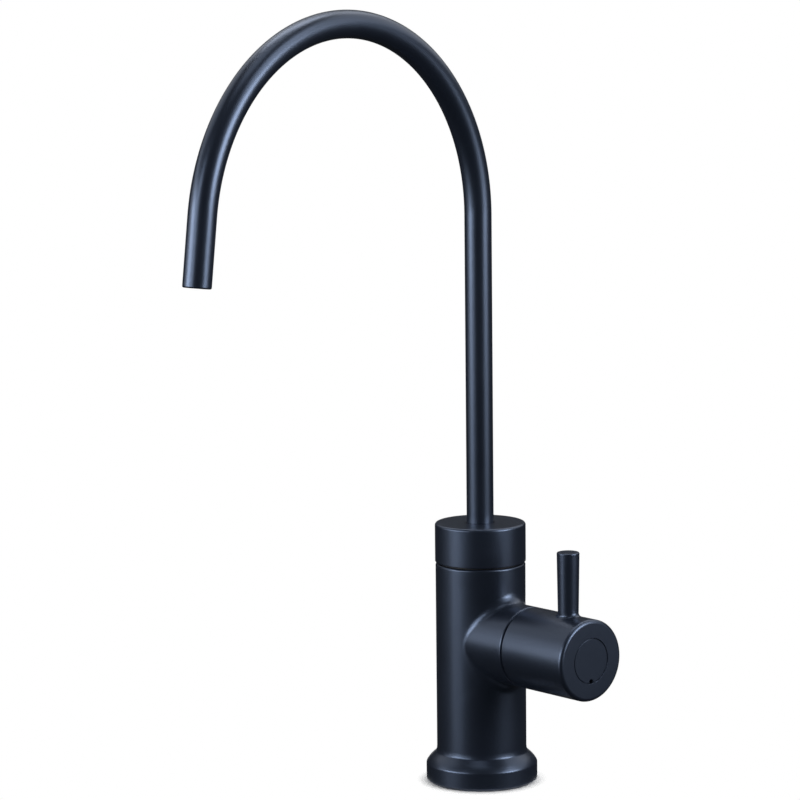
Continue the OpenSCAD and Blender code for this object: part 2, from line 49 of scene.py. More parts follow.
# %% [markdown]
# ## The camera
# The photograph looks down at the tap from its right front. A long lens from over a metre away
# keeps the column's sides almost parallel. One could place such a camera by eye, but its place,
# tilt and lens were worked out beforehand from the edges of the column, the tube and the handle,
# so here they are only set.

# %% Camera
CAMERA_SIDE = math.radians(48.0685)
CAMERA_YAW = math.radians(1.3469)
CAMERA_PITCH = math.radians(7.9787)
CAMERA_ROLL = math.radians(-0.6027)
CAMERA_DISTANCE = 1236.94 * MM
CAMERA_HEIGHT = 316.0 * MM
CAMERA_LENS = 153.23
SENSOR_WIDTH = 36
NEAREST = 0.05
UP = Vector((0, 0, 1))

heading = CAMERA_SIDE + CAMERA_YAW
ahead = Vector((-math.sin(heading), math.cos(heading), 0))
level = Vector((math.cos(heading), math.sin(heading), 0))
look = ahead * math.cos(CAMERA_PITCH) - UP * math.sin(CAMERA_PITCH)
top = ahead * math.sin(CAMERA_PITCH) + UP * math.cos(CAMERA_PITCH)
right = level * math.cos(CAMERA_ROLL) + top * math.sin(CAMERA_ROLL)
top = top * math.cos(CAMERA_ROLL) - level * math.sin(CAMERA_ROLL)

camera = bpy.data.objects.new("camera", bpy.data.cameras.new("camera"))
bpy.context.scene.collection.objects.link(camera)
camera.data.lens = CAMERA_LENS
camera.data.sensor_width = SENSOR_WIDTH
camera.data.clip_start = NEAREST
place = Matrix((right, top, -look)).transposed().to_4x4()
place.translation = (CAMERA_DISTANCE * math.sin(CAMERA_SIDE),
                     -CAMERA_DISTANCE * math.cos(CAMERA_SIDE), CAMERA_HEIGHT)
camera.matrix_world = place
bpy.context.scene.camera = camera
print("camera at", [round(x, 3) for x in camera.location])

# %% [markdown]
# ## Turned pieces
# The column, the collar, the handle's barrel and its cap are turned on a lathe. A spin would make
# them too, but a later cut needs rings at places of its own. So one helper adds a circle and
# pulls it along a profile, ring by ring, as one would by hand with extrude and scale. A profile
# is a list of radius and height, and an arc in it is a short run of points.

# %% Selecting and editing
DOUBLES = 0.001


def pick(piece):
    """Makes one piece the only one that an operator acts on."""
    bpy.ops.object.select_all(action="DESELECT")
    bpy.context.view_layer.objects.active = piece
    piece.select_set(True)


def edit(piece, mode):
    """Opens one piece in edit mode with nothing selected."""
    pick(piece)
    bpy.ops.object.mode_set(mode="EDIT")
    bpy.ops.mesh.select_mode(type=mode)
    bpy.ops.mesh.select_all(action="DESELECT")


def close_up():
    """Merges doubles, turns all faces outwards and leaves edit mode."""
    bpy.ops.mesh.select_all(action="SELECT")
    bpy.ops.mesh.remove_doubles(threshold=DOUBLES * MM)
    bpy.ops.mesh.normals_make_consistent(inside=False)
    bpy.ops.object.mode_set(mode="OBJECT")


# %% Lathe
RING_POINTS = 256
ARC_STEPS = 10


def arc(middle, radius, start, end, steps=ARC_STEPS):
    """Points on an arc of a profile, angles in degrees."""
    turns = [math.radians(start + (end - start) * k / steps) for k in range(steps + 1)]
    return [(middle[0] + radius * math.cos(t), middle[1] + radius * math.sin(t)) for t in turns]


def lathe(name, profile, closed, points=RING_POINTS):
    """Pulls a circle along a profile. A closed one joins its ends, another is capped at both."""
    bpy.ops.object.select_all(action="DESELECT")
    radius, height = profile[0]
    bpy.ops.mesh.primitive_circle_add(vertices=points, radius=radius * MM,
                                      location=(0, 0, height * MM),
                                      fill_type="NOTHING" if closed else "NGON")
    piece = bpy.context.object
    piece.name = piece.data.name = name
    bpy.ops.object.transform_apply()
    bpy.ops.object.mode_set(mode="EDIT")
    bpy.ops.mesh.select_mode(type="EDGE")
    bpy.ops.mesh.select_all(action="SELECT")
    for (r0, h0), (r1, h1) in zip(profile, profile[1:]):
        bpy.ops.mesh.extrude_edges_move(TRANSFORM_OT_translate={"value": (0, 0, (h1 - h0) * MM)})
        bpy.ops.transform.resize(value=(r1 / r0, r1 / r0, 1), center_override=(0, 0, h1 * MM))
    if not closed:
        bpy.ops.mesh.edge_face_add()
    close_up()
    return piece


# %% [markdown]
# ## The foot
# One brass casting stands on the deck. Its foot has an upright rim, a crease, a round shoulder
# and a hollow that runs into the column. A cone with bevelled edges would come near, but the fine
# lines of light on the crease and in the hollow are what one sees first. So each bend is an arc
# of its own radius that starts where the last one ends, and a straight slope joins the two halves.

# %% Foot profile
COLUMN_R = 16.6
FOOT_R = 20.6
FOOT_EDGE = 1.0
FOOT_RIM = 6.5
CREASE_ROUND = 1.5
CREASE_LEAN = 30
SHOULDER_ROUND = 10
SHOULDER_LEAN = 47
HOLLOW_ROUND = 1.5
HOLLOW_LEAN = 11
FOOT_FILLET = 9


def run_on(points, radius, start, end):
    """Adds an arc that starts at the last point of a profile."""
    x, z = points[-1]
    turn = math.radians(start)
    middle = (x - radius * math.cos(turn), z - radius * math.sin(turn))
    return points + arc(middle, radius, start, end)[1:]


foot = [(FOOT_R - FOOT_EDGE, 0), (FOOT_R, FOOT_EDGE), (FOOT_R, FOOT_RIM)]
foot = run_on(foot, CREASE_ROUND, 0, CREASE_LEAN)
foot = run_on(foot, SHOULDER_ROUND, CREASE_LEAN, SHOULDER_LEAN)
hollow = run_on([(0, 0)], HOLLOW_ROUND, 180 + SHOULDER_LEAN, 180 + HOLLOW_LEAN)
hollow = run_on(hollow, FOOT_FILLET, 180 + HOLLOW_LEAN, 180)
slope_run = foot[-1][0] + hollow[-1][0] - COLUMN_R
hollow_low = foot[-1][1] + slope_run / math.tan(math.radians(SHOULDER_LEAN))
foot += [(COLUMN_R + x - hollow[-1][0], hollow_low + z) for x, z in hollow]
print("slope", round(slope_run, 2), "mm wide, column from", round(foot[-1][1], 2), "mm up")

# %% [markdown]
# ## The column and its bores
# Above the foot the casting is a plain column, and inside it is bored from both ends. One could
# turn only the outside, but then it would be a solid block. This profile starts at the hose port
# deep inside, comes down the shank socket, passes the gasket's groove, goes round the foot, up
# the column and into the swivel's socket, so the piece is a real shell, closed all over.

# %% Column profile
COLUMN_TOP = 82
COLUMN_EDGE = 0.8
RIM_STEPS = 6
HOSE_R = 4.5
HOSE_TOP = 24
SHANK_R = 9.3
SHANK_DEPTH = 14
GROOVE_IN = 14.45
GROOVE_OUT = 17.55
GROOVE_DEPTH = 2
SOCKET_R = 8.05
SOCKET_FLOOR = 67.45
WIRE_GROOVE_R = 8.8
WIRE_GROOVE_LOW = 78
WIRE_GROOVE_TOP = 80

inside_below = [(HOSE_R, HOSE_TOP), (HOSE_R, SHANK_DEPTH), (SHANK_R, SHANK_DEPTH), (SHANK_R, 0)]
gasket_groove = [(GROOVE_IN, 0), (GROOVE_IN, GROOVE_DEPTH),
                 (GROOVE_OUT, GROOVE_DEPTH), (GROOVE_OUT, 0)]
rim = arc((COLUMN_R - COLUMN_EDGE, COLUMN_TOP - COLUMN_EDGE), COLUMN_EDGE, 0, 90, RIM_STEPS)
swivel_socket = [(SOCKET_R, COLUMN_TOP), (SOCKET_R, WIRE_GROOVE_TOP),
                 (WIRE_GROOVE_R, WIRE_GROOVE_TOP), (WIRE_GROOVE_R, WIRE_GROOVE_LOW),
                 (SOCKET_R, WIRE_GROOVE_LOW), (SOCKET_R, SOCKET_FLOOR)]
print("the column is", COLUMN_TOP, "mm tall and", 2 * COLUMN_R, "mm thick")

# %% [markdown]
# ## Where one cylinder leaves another
# The side branch grows out of the column, and the lever out of the barrel, each with a rounded
# root. A boolean and a bevel would leave a ragged rim there, and this rim catches the light. So
# the faces of the thick cylinder are deleted in a window, the window's rim is extruded again and
# again, and each new ring is put where a ball that rolls along both cylinders would touch. The
# first cell is the ball, the next one the window, and the last one makes the rings.

# %% Rolling ball
SEARCH_WIDTH = 0.7
SEARCH_STEPS = 40


class Root:
    """The root of a thin cylinder on a thick one, with a ball that rolls along both.

    A place is its way along the thick cylinder, to the side, and out along the thin one. What
    the rim remembers is the ball's turn, and its own place on the thick cylinder rolled out flat.
    """

    def __init__(self, origin, along, out, thin, thick, fillet):
        self.origin, self.along, self.out = Vector(origin) * MM, along, out
        self.side = out.cross(along)
        self.thick, self.fillet = thick, fillet
        self.from_thin, self.from_thick = thin + fillet, thick + fillet

    def local(self, point):
        """The place of a point of the mesh."""
        p = (point - self.origin) / MM
        return p.dot(self.along), p.dot(self.side), p.dot(self.out)

    def world(self, k, s, t):
        """The point of the mesh at a place."""
        return self.origin + (self.along * k + self.side * s + self.out * t) * MM

    def touch(self, turn):
        """The ball's touch on the thick cylinder, rolled out flat."""
        aside = self.from_thin * math.sin(turn) / self.from_thick
        return self.from_thin * math.cos(turn), self.thick * math.asin(aside)

    def turn_at(self, angle):
        """The ball's turn whose touch lies in a given direction on the rolled out cylinder."""
        low, high = angle - SEARCH_WIDTH, angle + SEARCH_WIDTH
        for _ in range(SEARCH_STEPS):
            turn = (low + high) / 2
            k, u = self.touch(turn)
            miss = math.atan2(u, k) - angle
            ahead_of_it = math.atan2(math.sin(miss), math.cos(miss)) >= 0
            low, high = (low, turn) if ahead_of_it else (turn, high)
        return turn

    def on_thick(self, rim, share):
        """A place on the thick cylinder, a share of the way from the rim to the ball's touch."""
        turn, start_k, start_u = rim
        k, u = self.touch(turn)
        k, u = start_k + (k - start_k) * share, start_u + (u - start_u) * share
        return k, self.thick * math.sin(u / self.thick), self.thick * math.cos(u / self.thick)

    def on_ball(self, rim, share):
        """A place on the ball, a share of the way from the thick cylinder to the thin one."""
        k, s = math.cos(rim[0]), math.sin(rim[0])
        middle = Vector((self.from_thin * k, self.from_thin * s, 0))
        middle.z = math.sqrt(self.from_thick * self.from_thick - middle.y ** 2)
        to_thin = Vector((-k, -s, 0))
        to_thick = Vector((0, -middle.y, -middle.z)) / self.from_thick
        swing = to_thin.angle(to_thick)
        way = to_thick * math.sin((1 - share) * swing) + to_thin * math.sin(share * swing)
        return middle + way * (self.fillet / math.sin(swing))

    def on_thin(self, rim, distance, radius):
        """A place on a ring round the thin cylinder's axis."""
        return radius * math.cos(rim[0]), radius * math.sin(rim[0]), distance


# %% Window
NOTES = ("turn", "start_k", "start_u")
ON_WALL = 0.05


def open_window(piece, root, reach, half_turn):
    """Deletes the faces of the thick cylinder's wall in a window."""
    edit(piece, "FACE")
    mesh = bmesh.from_edit_mesh(piece.data)
    for face in mesh.faces:
        k, s, t = root.local(face.calc_center_median())
        on_wall = abs(math.hypot(s, t) - root.thick) < ON_WALL
        inside = abs(k) < reach and abs(math.degrees(math.atan2(s, t))) < half_turn
        face.select_set(on_wall and inside)
    bmesh.update_edit_mesh(piece.data)
    bpy.ops.mesh.delete(type="FACE")


def note_rim(piece, root):
    """Selects the window's rim and lets each of its points remember its turn and its start."""
    bpy.ops.mesh.select_mode(type="EDGE")
    mesh = bmesh.from_edit_mesh(piece.data)
    layers = [mesh.verts.layers.float.new(name) for name in NOTES]
    for edge in mesh.edges:
        edge.select_set(edge.is_boundary)
    for point in mesh.verts:
        if point.select:
            k, s, t = root.local(point.co)
            u = root.thick * math.atan2(s, t)
            for layer, value in zip(layers, (root.turn_at(math.atan2(u, k)), k, u)):
                point[layer] = value
    bmesh.update_edit_mesh(piece.data)


# %% Rings of the branch
PATCH_RINGS = 4
FILLET_RINGS = 10


def next_ring(piece, root, place_of, *sizes):
    """Extrudes the rim once and puts each of its new points in place."""
    bpy.ops.mesh.extrude_edges_move()
    mesh = bmesh.from_edit_mesh(piece.data)
    layers = [mesh.verts.layers.float[name] for name in NOTES]
    for point in mesh.verts:
        if point.select:
            point.co = root.world(*place_of([point[layer] for layer in layers], *sizes))
    bmesh.update_edit_mesh(piece.data)


def branch_off(piece, root, reach, half_turn, stations):
    """Grows the thin cylinder out of the thick one, through its stations, and closes its end."""
    open_window(piece, root, reach, half_turn)
    note_rim(piece, root)
    for i in range(PATCH_RINGS):
        next_ring(piece, root, root.on_thick, (i + 1) / PATCH_RINGS)
    for i in range(FILLET_RINGS):
        next_ring(piece, root, root.on_ball, (i + 1) / FILLET_RINGS)
    for distance, radius in stations:
        next_ring(piece, root, root.on_thin, distance, radius)
    bpy.ops.mesh.edge_face_add()
    close_up()
    for name in NOTES:
        piece.data.attributes.remove(piece.data.attributes[name])
    print(piece.name, "has a branch of", len(stations), "rings past its root")


# %% [markdown]
# ## Edges and shading
# On a dark satin piece the edges show first, as fine lines of light, so none of them stays quite
# sharp. The wide ones are arcs in the profiles, and a bevel modifier breaks the small ones. Plain
# smooth shading would bend the light on the flat faces beside them, so a modifier that weighs the
# normals lets the big faces set them.

# %% Edges and shading
SHARP = math.radians(30)
EDGE_SEGMENTS = 3


def shade(piece):
    """Smooth shading that keeps flat faces flat."""
    pick(piece)
    bpy.ops.object.shade_smooth_by_angle(angle=SHARP)
    weights = piece.modifiers.new("flat faces", "WEIGHTED_NORMAL")
    weights.keep_sharp = True
    bpy.ops.object.modifier_apply(modifier=weights.name)
    print(piece.name, len(piece.data.vertices), "points", len(piece.data.polygons), "faces")


def soften_edges(piece, width, segments=EDGE_SEGMENTS):
    """Breaks every sharp edge with a small round and shades the piece."""
    pick(piece)
    bevel = piece.modifiers.new("edges", "BEVEL")
    bevel.width = width * MM
    bevel.segments = segments
    bevel.limit_method = "ANGLE"
    bevel.angle_limit = SHARP
    bpy.ops.object.modifier_apply(modifier=bevel.name)
    shade(piece)


# %% [markdown]
# ## The column and its branch
# The branch at the column's side holds the valve. A tube pushed into the column would have a
# sharp root, and here it is cast in one piece with a round one. The rings of the column's wall
# stand a millimetre apart there, so that a window with straight edges can be deleted. The
# branch ends in a small round, and its rings then go back inside: first to the seat of the
# valve's flange, then down the chamber to the valve's seat.

# %% Column and branch
VALVE_Z = 54
BRANCH_R = 14.9
BRANCH_FREE = 22.5
BRANCH_END = 26.9
BRANCH_EDGE = 0.7
BRANCH_FILLET = 4
FLANGE_SEAT_R = 11.6
FLANGE_SEAT = 25.3
CHAMBER_R = 10.05
VALVE_SEAT = 4
WINDOW_REACH = 23
WINDOW_TURN = 78.75
CASTING_EDGE = 0.12
ALONG_LEVER = Vector((1, 0, 0))

wall = [(COLUMN_R, VALVE_Z + k) for k in range(-WINDOW_REACH, WINDOW_REACH + 1)]
profile = inside_below + gasket_groove + foot + wall + rim + swivel_socket
column = lathe("column_and_branch", profile, False)
branch_end = arc((BRANCH_END - BRANCH_EDGE, BRANCH_R - BRANCH_EDGE), BRANCH_EDGE, 90, 0, RIM_STEPS)
chamber = [(BRANCH_END, FLANGE_SEAT_R), (FLANGE_SEAT, FLANGE_SEAT_R),
           (FLANGE_SEAT, CHAMBER_R), (VALVE_SEAT, CHAMBER_R)]
branch_root = Root((0, 0, VALVE_Z), UP, ALONG_LEVER, BRANCH_R, COLUMN_R, BRANCH_FILLET)
branch_off(column, branch_root, WINDOW_REACH, WINDOW_TURN,
           [(BRANCH_FREE, BRANCH_R)] + branch_end + chamber)
soften_edges(column, CASTING_EDGE)
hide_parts("tap_body")
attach(column, "body")

# %% [markdown]
# ## The spout tube
# A thin steel tube is bent into an arch. A curve with a round bevel would give its outside, but
# not its wall and its bore. So a flat ring is pulled straight up, spun round the arch's middle
# and pulled straight again. The mouth's two edges are then rounded with the bevel operator, and
# the tube gets the small turn that it has at rest.

# %% Bent tube
TUBE_R = 4.975
TUBE_BORE = 4
TUBE_LOW = 76
TUBE_POINTS = 128
ARCH_R = 71
ARCH_Z = 210.5
ARCH_TURN = math.radians(172.5)
ARCH_STEPS = 138
OUTLET = 24


def pull(way):
    """Extrudes the selected faces along a way in millimetres."""
    bpy.ops.mesh.extrude_region_move(TRANSFORM_OT_translate={"value": way * MM})


tube = lathe("arch_tube", [(TUBE_R, TUBE_LOW), (TUBE_BORE, TUBE_LOW)], True, TUBE_POINTS)
edit(tube, "FACE")
bpy.ops.mesh.select_all(action="SELECT")
pull(UP * (ARCH_Z - TUBE_LOW))
arch_middle = Vector((0, -ARCH_R, ARCH_Z)) * MM
bpy.ops.mesh.spin(steps=ARCH_STEPS, angle=ARCH_TURN, center=arch_middle, axis=(-1, 0, 0))
outward = Vector((0, math.cos(ARCH_TURN), math.sin(ARCH_TURN)))
onward = Vector((0, -math.sin(ARCH_TURN), math.cos(ARCH_TURN)))
pull(onward * OUTLET)
mouth = arch_middle + (outward * ARCH_R + onward * OUTLET) * MM
print("mouth at", [round(x / MM, 2) for x in mouth], "before the rest turn")

# %% Mouth and rest turn
MOUTH_ROUND = 0.6
BORE_ROUND = 0.2
MOUTH_STEPS = 6
ON_EDGE = 0.02
REST_TURN = math.radians(7.6)

bpy.ops.mesh.select_mode(type="EDGE")
for radius, width in ((TUBE_R, MOUTH_ROUND), (TUBE_BORE, BORE_ROUND)):
    bpy.ops.mesh.select_all(action="DESELECT")
    mesh = bmesh.from_edit_mesh(tube.data)
    for edge in mesh.edges:
        away = [(point.co - mouth).length / MM for point in edge.verts]
        edge.select_set(all(abs(a - radius) < ON_EDGE for a in away))
    bmesh.update_edit_mesh(tube.data)
    bpy.ops.mesh.bevel(offset=width * MM, segments=MOUTH_STEPS, affect="EDGES")
close_up()
tube.rotation_euler = (0, 0, REST_TURN)
bpy.ops.object.transform_apply()
shade(tube)
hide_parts("spout_tube")
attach(tube, "spout")

# %% [markdown]
# ## The collar
# A ring hides the swivel joint and turns with the tube. A bevelled cylinder with a hole would do,
# but a closed profile gives each edge its own form: a round of a millimetre at the top, a small
# one at the seam, and a fine chamfer at the hole that shows as a dark line round the tube.

# %% Collar
COLLAR_R = 16.75
COLLAR_LOW = 82.5
COLLAR_TOP = 97
COLLAR_ROUND = 1
COLLAR_EDGE = 0.35
COLLAR_EDGE_STEPS = 5
HEAD_R = 13.05
HEAD_TOP = 92
HOLE_R = 5.05
HOLE_EDGE = 0.3

low_edge = arc((COLLAR_R - COLLAR_EDGE, COLLAR_LOW + COLLAR_EDGE), COLLAR_EDGE, -90, 0,
               COLLAR_EDGE_STEPS)
top_edge = arc((COLLAR_R - COLLAR_ROUND, COLLAR_TOP - COLLAR_ROUND), COLLAR_ROUND, 0, 90)
hole = [(HOLE_R + HOLE_EDGE, COLLAR_TOP), (HOLE_R, COLLAR_TOP - HOLE_EDGE), (HOLE_R, HEAD_TOP)]
head = [(HEAD_R, HEAD_TOP), (HEAD_R, COLLAR_LOW)]
collar = lathe("collar_ring", [head[-1]] + low_edge + top_edge + hole + head, True)
soften_edges(collar, CASTING_EDGE)
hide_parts("spout_collar")
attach(collar, "spout")

# %% [markdown]
# ## The handle
# The handle is one casting: a barrel that turns on the valve's stem, and a lever pin that is a
# little wider at its tip. Two cylinders set into each other would show a hard seam, so the lever
# branches off the barrel as the branch does off the column. The barrel is turned first and laid
# on the lever's axis. Inside are the cavity over the valve, the bore for the stem's end, the
# screw's hole, the pocket for its head and the seat of the cap.

# %% Barrel
BARREL_BACK = 27.2
BARREL_EDGE = 0.4
FACE_X = 58.8
FACE_ROUND = 1.4
CAVITY_R = 12.55
CAVITY_END = 41.05
STEM_BORE_R = 4.05
STEM_BORE_END = 50.35
SCREW_HOLE_R = 2.35
POCKET_R = 5.5
POCKET_FLOOR = 52.5
CAP_HOLE_R = 8.25
CAP_SEAT = 56.75
LEVER_X = 47
LEVER_WINDOW = 8
LEVER_ROWS = 24


def lay_along_x(piece, height):
    """Turns a piece that was made upright to lie on the lever's axis."""
    piece.rotation_euler = (0, math.pi / 2, 0)
    piece.location = (0, 0, height * MM)
    pick(piece)
    bpy.ops.object.transform_apply()


back = [(CAVITY_R, BARREL_BACK), (BRANCH_R - BARREL_EDGE, BARREL_BACK),
        (BRANCH_R, BARREL_BACK + BARREL_EDGE)]
rows = [(BRANCH_R, LEVER_X + LEVER_WINDOW * (2 * k / LEVER_ROWS - 1))
        for k in range(LEVER_ROWS + 1)]
face_edge = arc((BRANCH_R - FACE_ROUND, FACE_X - FACE_ROUND), FACE_ROUND, 0, 90)
bores = [(CAP_HOLE_R, FACE_X), (CAP_HOLE_R, CAP_SEAT), (POCKET_R, CAP_SEAT),
         (POCKET_R, POCKET_FLOOR), (SCREW_HOLE_R, POCKET_FLOOR), (SCREW_HOLE_R, STEM_BORE_END),
         (STEM_BORE_R, STEM_BORE_END), (STEM_BORE_R, CAVITY_END), (CAVITY_R, CAVITY_END)]
handle = lathe("lever_handle", back + rows + face_edge + bores + [back[0]], True)
lay_along_x(handle, VALVE_Z)
print("the barrel is", round(FACE_X - BARREL_BACK, 1), "mm long")

# %% Lever
LEVER_FREE = 17.2
LEVER_TIP = 38
LEVER_TIP_R = 4.1
LEVER_FOOT_R = 3.75
LEVER_EDGE = 0.5
LEVER_FILLET = 1.4
LEVER_WINDOW_TURN = 30.9375
HANDLE_EDGE = 0.1

widening = (LEVER_TIP_R - LEVER_FOOT_R) / (LEVER_TIP - LEVER_EDGE - BRANCH_R)
lever_free = (LEVER_FREE, LEVER_FOOT_R + widening * (LEVER_FREE - BRANCH_R))
lever_tip = arc((LEVER_TIP - LEVER_EDGE, LEVER_TIP_R - LEVER_EDGE), LEVER_EDGE, 90, 0, RIM_STEPS)
lever_root = Root((LEVER_X, 0, VALVE_Z), ALONG_LEVER, UP, LEVER_FOOT_R, BRANCH_R, LEVER_FILLET)
branch_off(handle, lever_root, LEVER_WINDOW, LEVER_WINDOW_TURN, [lever_free] + lever_tip)
soften_edges(handle, HANDLE_EDGE)
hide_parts("handle")
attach(handle, "lever")

# %% [markdown]
# ## The cap
# A round, bare disc covers the screw in the handle's face, with a stub that presses into the
# pocket. A small notch at its lowest point lets one pry it out. The disc is turned, and the notch,
# which is too small to need rings of its own, is cut with a boolean.

# %% Cap
CAP_R = 8.1
CAP_FACE = 58.75
CAP_EDGE = 0.2
STUB_R = 5.45
STUB_BORE = 4.45
STUB_END = 55.35

stub = [(STUB_BORE, CAP_SEAT), (STUB_BORE, STUB_END), (STUB_R, STUB_END), (STUB_R, CAP_SEAT)]
disc = [(CAP_R, CAP_SEAT), (CAP_R, CAP_FACE - CAP_EDGE), (CAP_R - CAP_EDGE, CAP_FACE)]
cap = lathe("cap_disc", stub + disc, False)
lay_along_x(cap, VALVE_Z)
print("the cap lies", round(FACE_X - CAP_FACE, 2), "mm below the handle's face")

# %% Notch
NOTCH_R = 1.0
NOTCH_IN = 0.5
NOTCH_DEPTH = 1.9
NOTCH_POINTS = 48
CAP_BREAK = 0.05
CAP_SEGMENTS = 2

bpy.ops.object.select_all(action="DESELECT")
bpy.ops.mesh.primitive_cylinder_add(vertices=NOTCH_POINTS, radius=NOTCH_R * MM,
                                    depth=2 * NOTCH_DEPTH * MM,
                                    location=(CAP_FACE * MM, 0, (VALVE_Z - CAP_R + NOTCH_IN) * MM),
                                    rotation=(0, math.pi / 2, 0))
cutter = bpy.context.object
bpy.ops.object.transform_apply()
pick(cap)
notch = cap.modifiers.new("notch", "BOOLEAN")
notch.operation = "DIFFERENCE"
notch.object = cutter
bpy.ops.object.modifier_apply(modifier=notch.name)
bpy.data.objects.remove(cutter)
soften_edges(cap, CAP_BREAK, CAP_SEGMENTS)
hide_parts("handle_cap")
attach(cap, "lever")

# %% [markdown]
# ## Shader sums
# Finishes mix noises and masks, and that reads best as sums. One could link every node by hand,
# but then the sum is lost among sockets. So a small class wraps a socket, and plus, minus and
# times on it add the Math nodes. A graph has one method for every other node.

# %% Sockets and graphs


class Socket:
    """An output in a node tree that can be used in sums."""

    def __init__(self, graph, socket):
        self.graph, self.socket = graph, socket

    def math(self, operation, first, second):
        """Adds one Math node."""
        return self.graph.node("ShaderNodeMath", {"operation": operation}, {0: first, 1: second})

    def __add__(self, other):
        return self.math("ADD", self, other)

    def __sub__(self, other):
        return self.math("SUBTRACT", self, other)

    def __rsub__(self, other):
        return self.math("SUBTRACT", other, self)

    def __mul__(self, other):
        return self.math("MULTIPLY", self, other)

    __radd__ = __add__
    __rmul__ = __mul__


class Graph:
    """A node tree that is built from nothing."""

    def __init__(self, tree):
        self.tree = tree
        tree.nodes.clear()

    def node(self, kind, settings, inputs, out=0):
        """Adds a node, its settings first and then its inputs, and gives back one output."""
        made = self.tree.nodes.new(kind)
        for key, value in settings.items():
            setattr(made, key, value)
        for key, value in inputs.items():
            if isinstance(value, Socket):
                self.tree.links.new(value.socket, made.inputs[key])
            else:
                made.inputs[key].default_value = value
        return Socket(self, made.outputs[out]) if made.outputs else None


# %% Noise and colour
EVEN = (1, 1, 1)
# A Mix node's colour sockets share their names with others, so they go by number.
MIX_SHARE, MIX_DARK, MIX_LIGHT, MIX_COLOUR = 0, 6, 7, 2


def new_finish(name):
    """A material with an empty graph."""
    material = bpy.data.materials.new(name)
    material.use_nodes = True
    return material, Graph(material.node_tree)


def noise(graph, scale, detail, stretch=EVEN):
    """Noise on the object's own coordinates, with about one blot to every 1/scale metres."""
    where = graph.node("ShaderNodeTexCoord", {}, {}, "Object")
    where = graph.node("ShaderNodeMapping", {}, {"Vector": where, "Scale": stretch})
    return graph.node("ShaderNodeTexNoise", {},
                      {"Vector": where, "Scale": scale, "Detail": detail})


def between(graph, share, dark, light):
    """A colour between two, by a share from 0 to 1."""
    return graph.node("ShaderNodeMix", {"data_type": "RGBA"},
                      {MIX_SHARE: share, MIX_DARK: (*dark, 1), MIX_LIGHT: (*light, 1)}, MIX_COLOUR)


# %% [markdown]
# ## Satin black
# The tap is coated in a satin black with a cold, bluish sheen. A dark blue paint would be the
# first thought, but such a coat scatters almost no light, and what shows is the sheen. So the
# colour is nearly black, and the reflection is tinted, and soft because of fine grain. The grain
# is a bump too small to see as dots, and the gloss drifts a little over the surface.

# %% Satin black finish
COAT_DARK = (0.0040, 0.0056, 0.0100)
COAT_LIGHT = (0.0070, 0.0095, 0.0160)
SHEEN = (0.515, 0.67, 1.0)
COAT_IOR = 1.85
COAT_ROUGH = 0.33
DRIFT_SCALE = 55
DRIFT_DETAIL = 3
DRIFT_ROUGH = 0.05
COAT_GRAIN_SCALE = 2600
COAT_GRAIN_ROUGH = 0.06
COAT_GRAIN_BUMP = 0.10
COAT_GRAIN_DEPTH = 0.00004
GRAIN_DETAIL = 2
NOISE_MIDDLE = 0.5


def satin_black(name):
    """The coat of the whole tap."""
    material, g = new_finish(name)
    drift = noise(g, DRIFT_SCALE, DRIFT_DETAIL)
    grain = noise(g, COAT_GRAIN_SCALE, GRAIN_DETAIL)
    rough = COAT_ROUGH + (drift - NOISE_MIDDLE) * DRIFT_ROUGH
    rough = rough + (grain - NOISE_MIDDLE) * COAT_GRAIN_ROUGH
    bump = g.node("ShaderNodeBump", {}, {
        "Height": grain, "Strength": COAT_GRAIN_BUMP, "Distance": COAT_GRAIN_DEPTH})
    surface = g.node("ShaderNodeBsdfPrincipled", {}, {
        "Base Color": between(g, drift, COAT_DARK, COAT_LIGHT), "Roughness": rough,
        "Normal": bump, "IOR": COAT_IOR, "Specular Tint": (*SHEEN, 1)})
    g.node("ShaderNodeOutputMaterial", {}, {"Surface": surface})
    return material


# %% Coated pieces
def wear(piece, material):
    """Gives a piece one finish."""
    piece.data.materials.clear()
    piece.data.materials.append(material)


black_coat = satin_black("satin_black_coat")
cap_coat = satin_black("satin_black_cap")
for piece in (column, tube, collar, handle):
    wear(piece, black_coat)
wear(cap, cap_coat)
print("coated", [o.name for o in (column, tube, collar, handle, cap)])

# %% [markdown]
# ## The pieces inside
# Seals, discs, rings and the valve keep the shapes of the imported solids. They could be modelled
# again too, but hardly any of them shows, and only their finish can be bettered: turned brass,
# bright steel, rubber, lapped ceramic and moulded plastic. One helper makes them all from soft
# blots and fine grain. Turned brass has its grain round the lever's axis, so its noise is squeezed
# along it.

# %% Grained finish
BLOT_SCALE = 120
BLOT_DETAIL = 3
BLOT_SHARE = 0.6
GRAIN_SHARE = 0.4
GRAIN_ROUGH = 0.12
GRAIN_BUMP = 0.2


def grained(name, dark, light, rough, metal, scale, depth, stretch, nodes):
    """A finish with soft blots and fine grain, worn by the named nodes."""
    material, g = new_finish(name)
    blots = noise(g, BLOT_SCALE, BLOT_DETAIL)
    grain = noise(g, scale, GRAIN_DETAIL, stretch)
    bump = g.node("ShaderNodeBump", {}, {
        "Height": grain, "Strength": GRAIN_BUMP, "Distance": depth})
    surface = g.node("ShaderNodeBsdfPrincipled", {}, {
        "Base Color": between(g, blots * BLOT_SHARE + grain * GRAIN_SHARE, dark, light),
        "Roughness": rough + (grain - NOISE_MIDDLE) * GRAIN_ROUGH,
        "Metallic": metal, "Normal": bump})
    g.node("ShaderNodeOutputMaterial", {}, {"Surface": surface})
    for node in nodes:
        wear(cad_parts[node], material)
    print(name, "on", nodes)


# %% Metals inside
TURNED = (9, 1, 1)

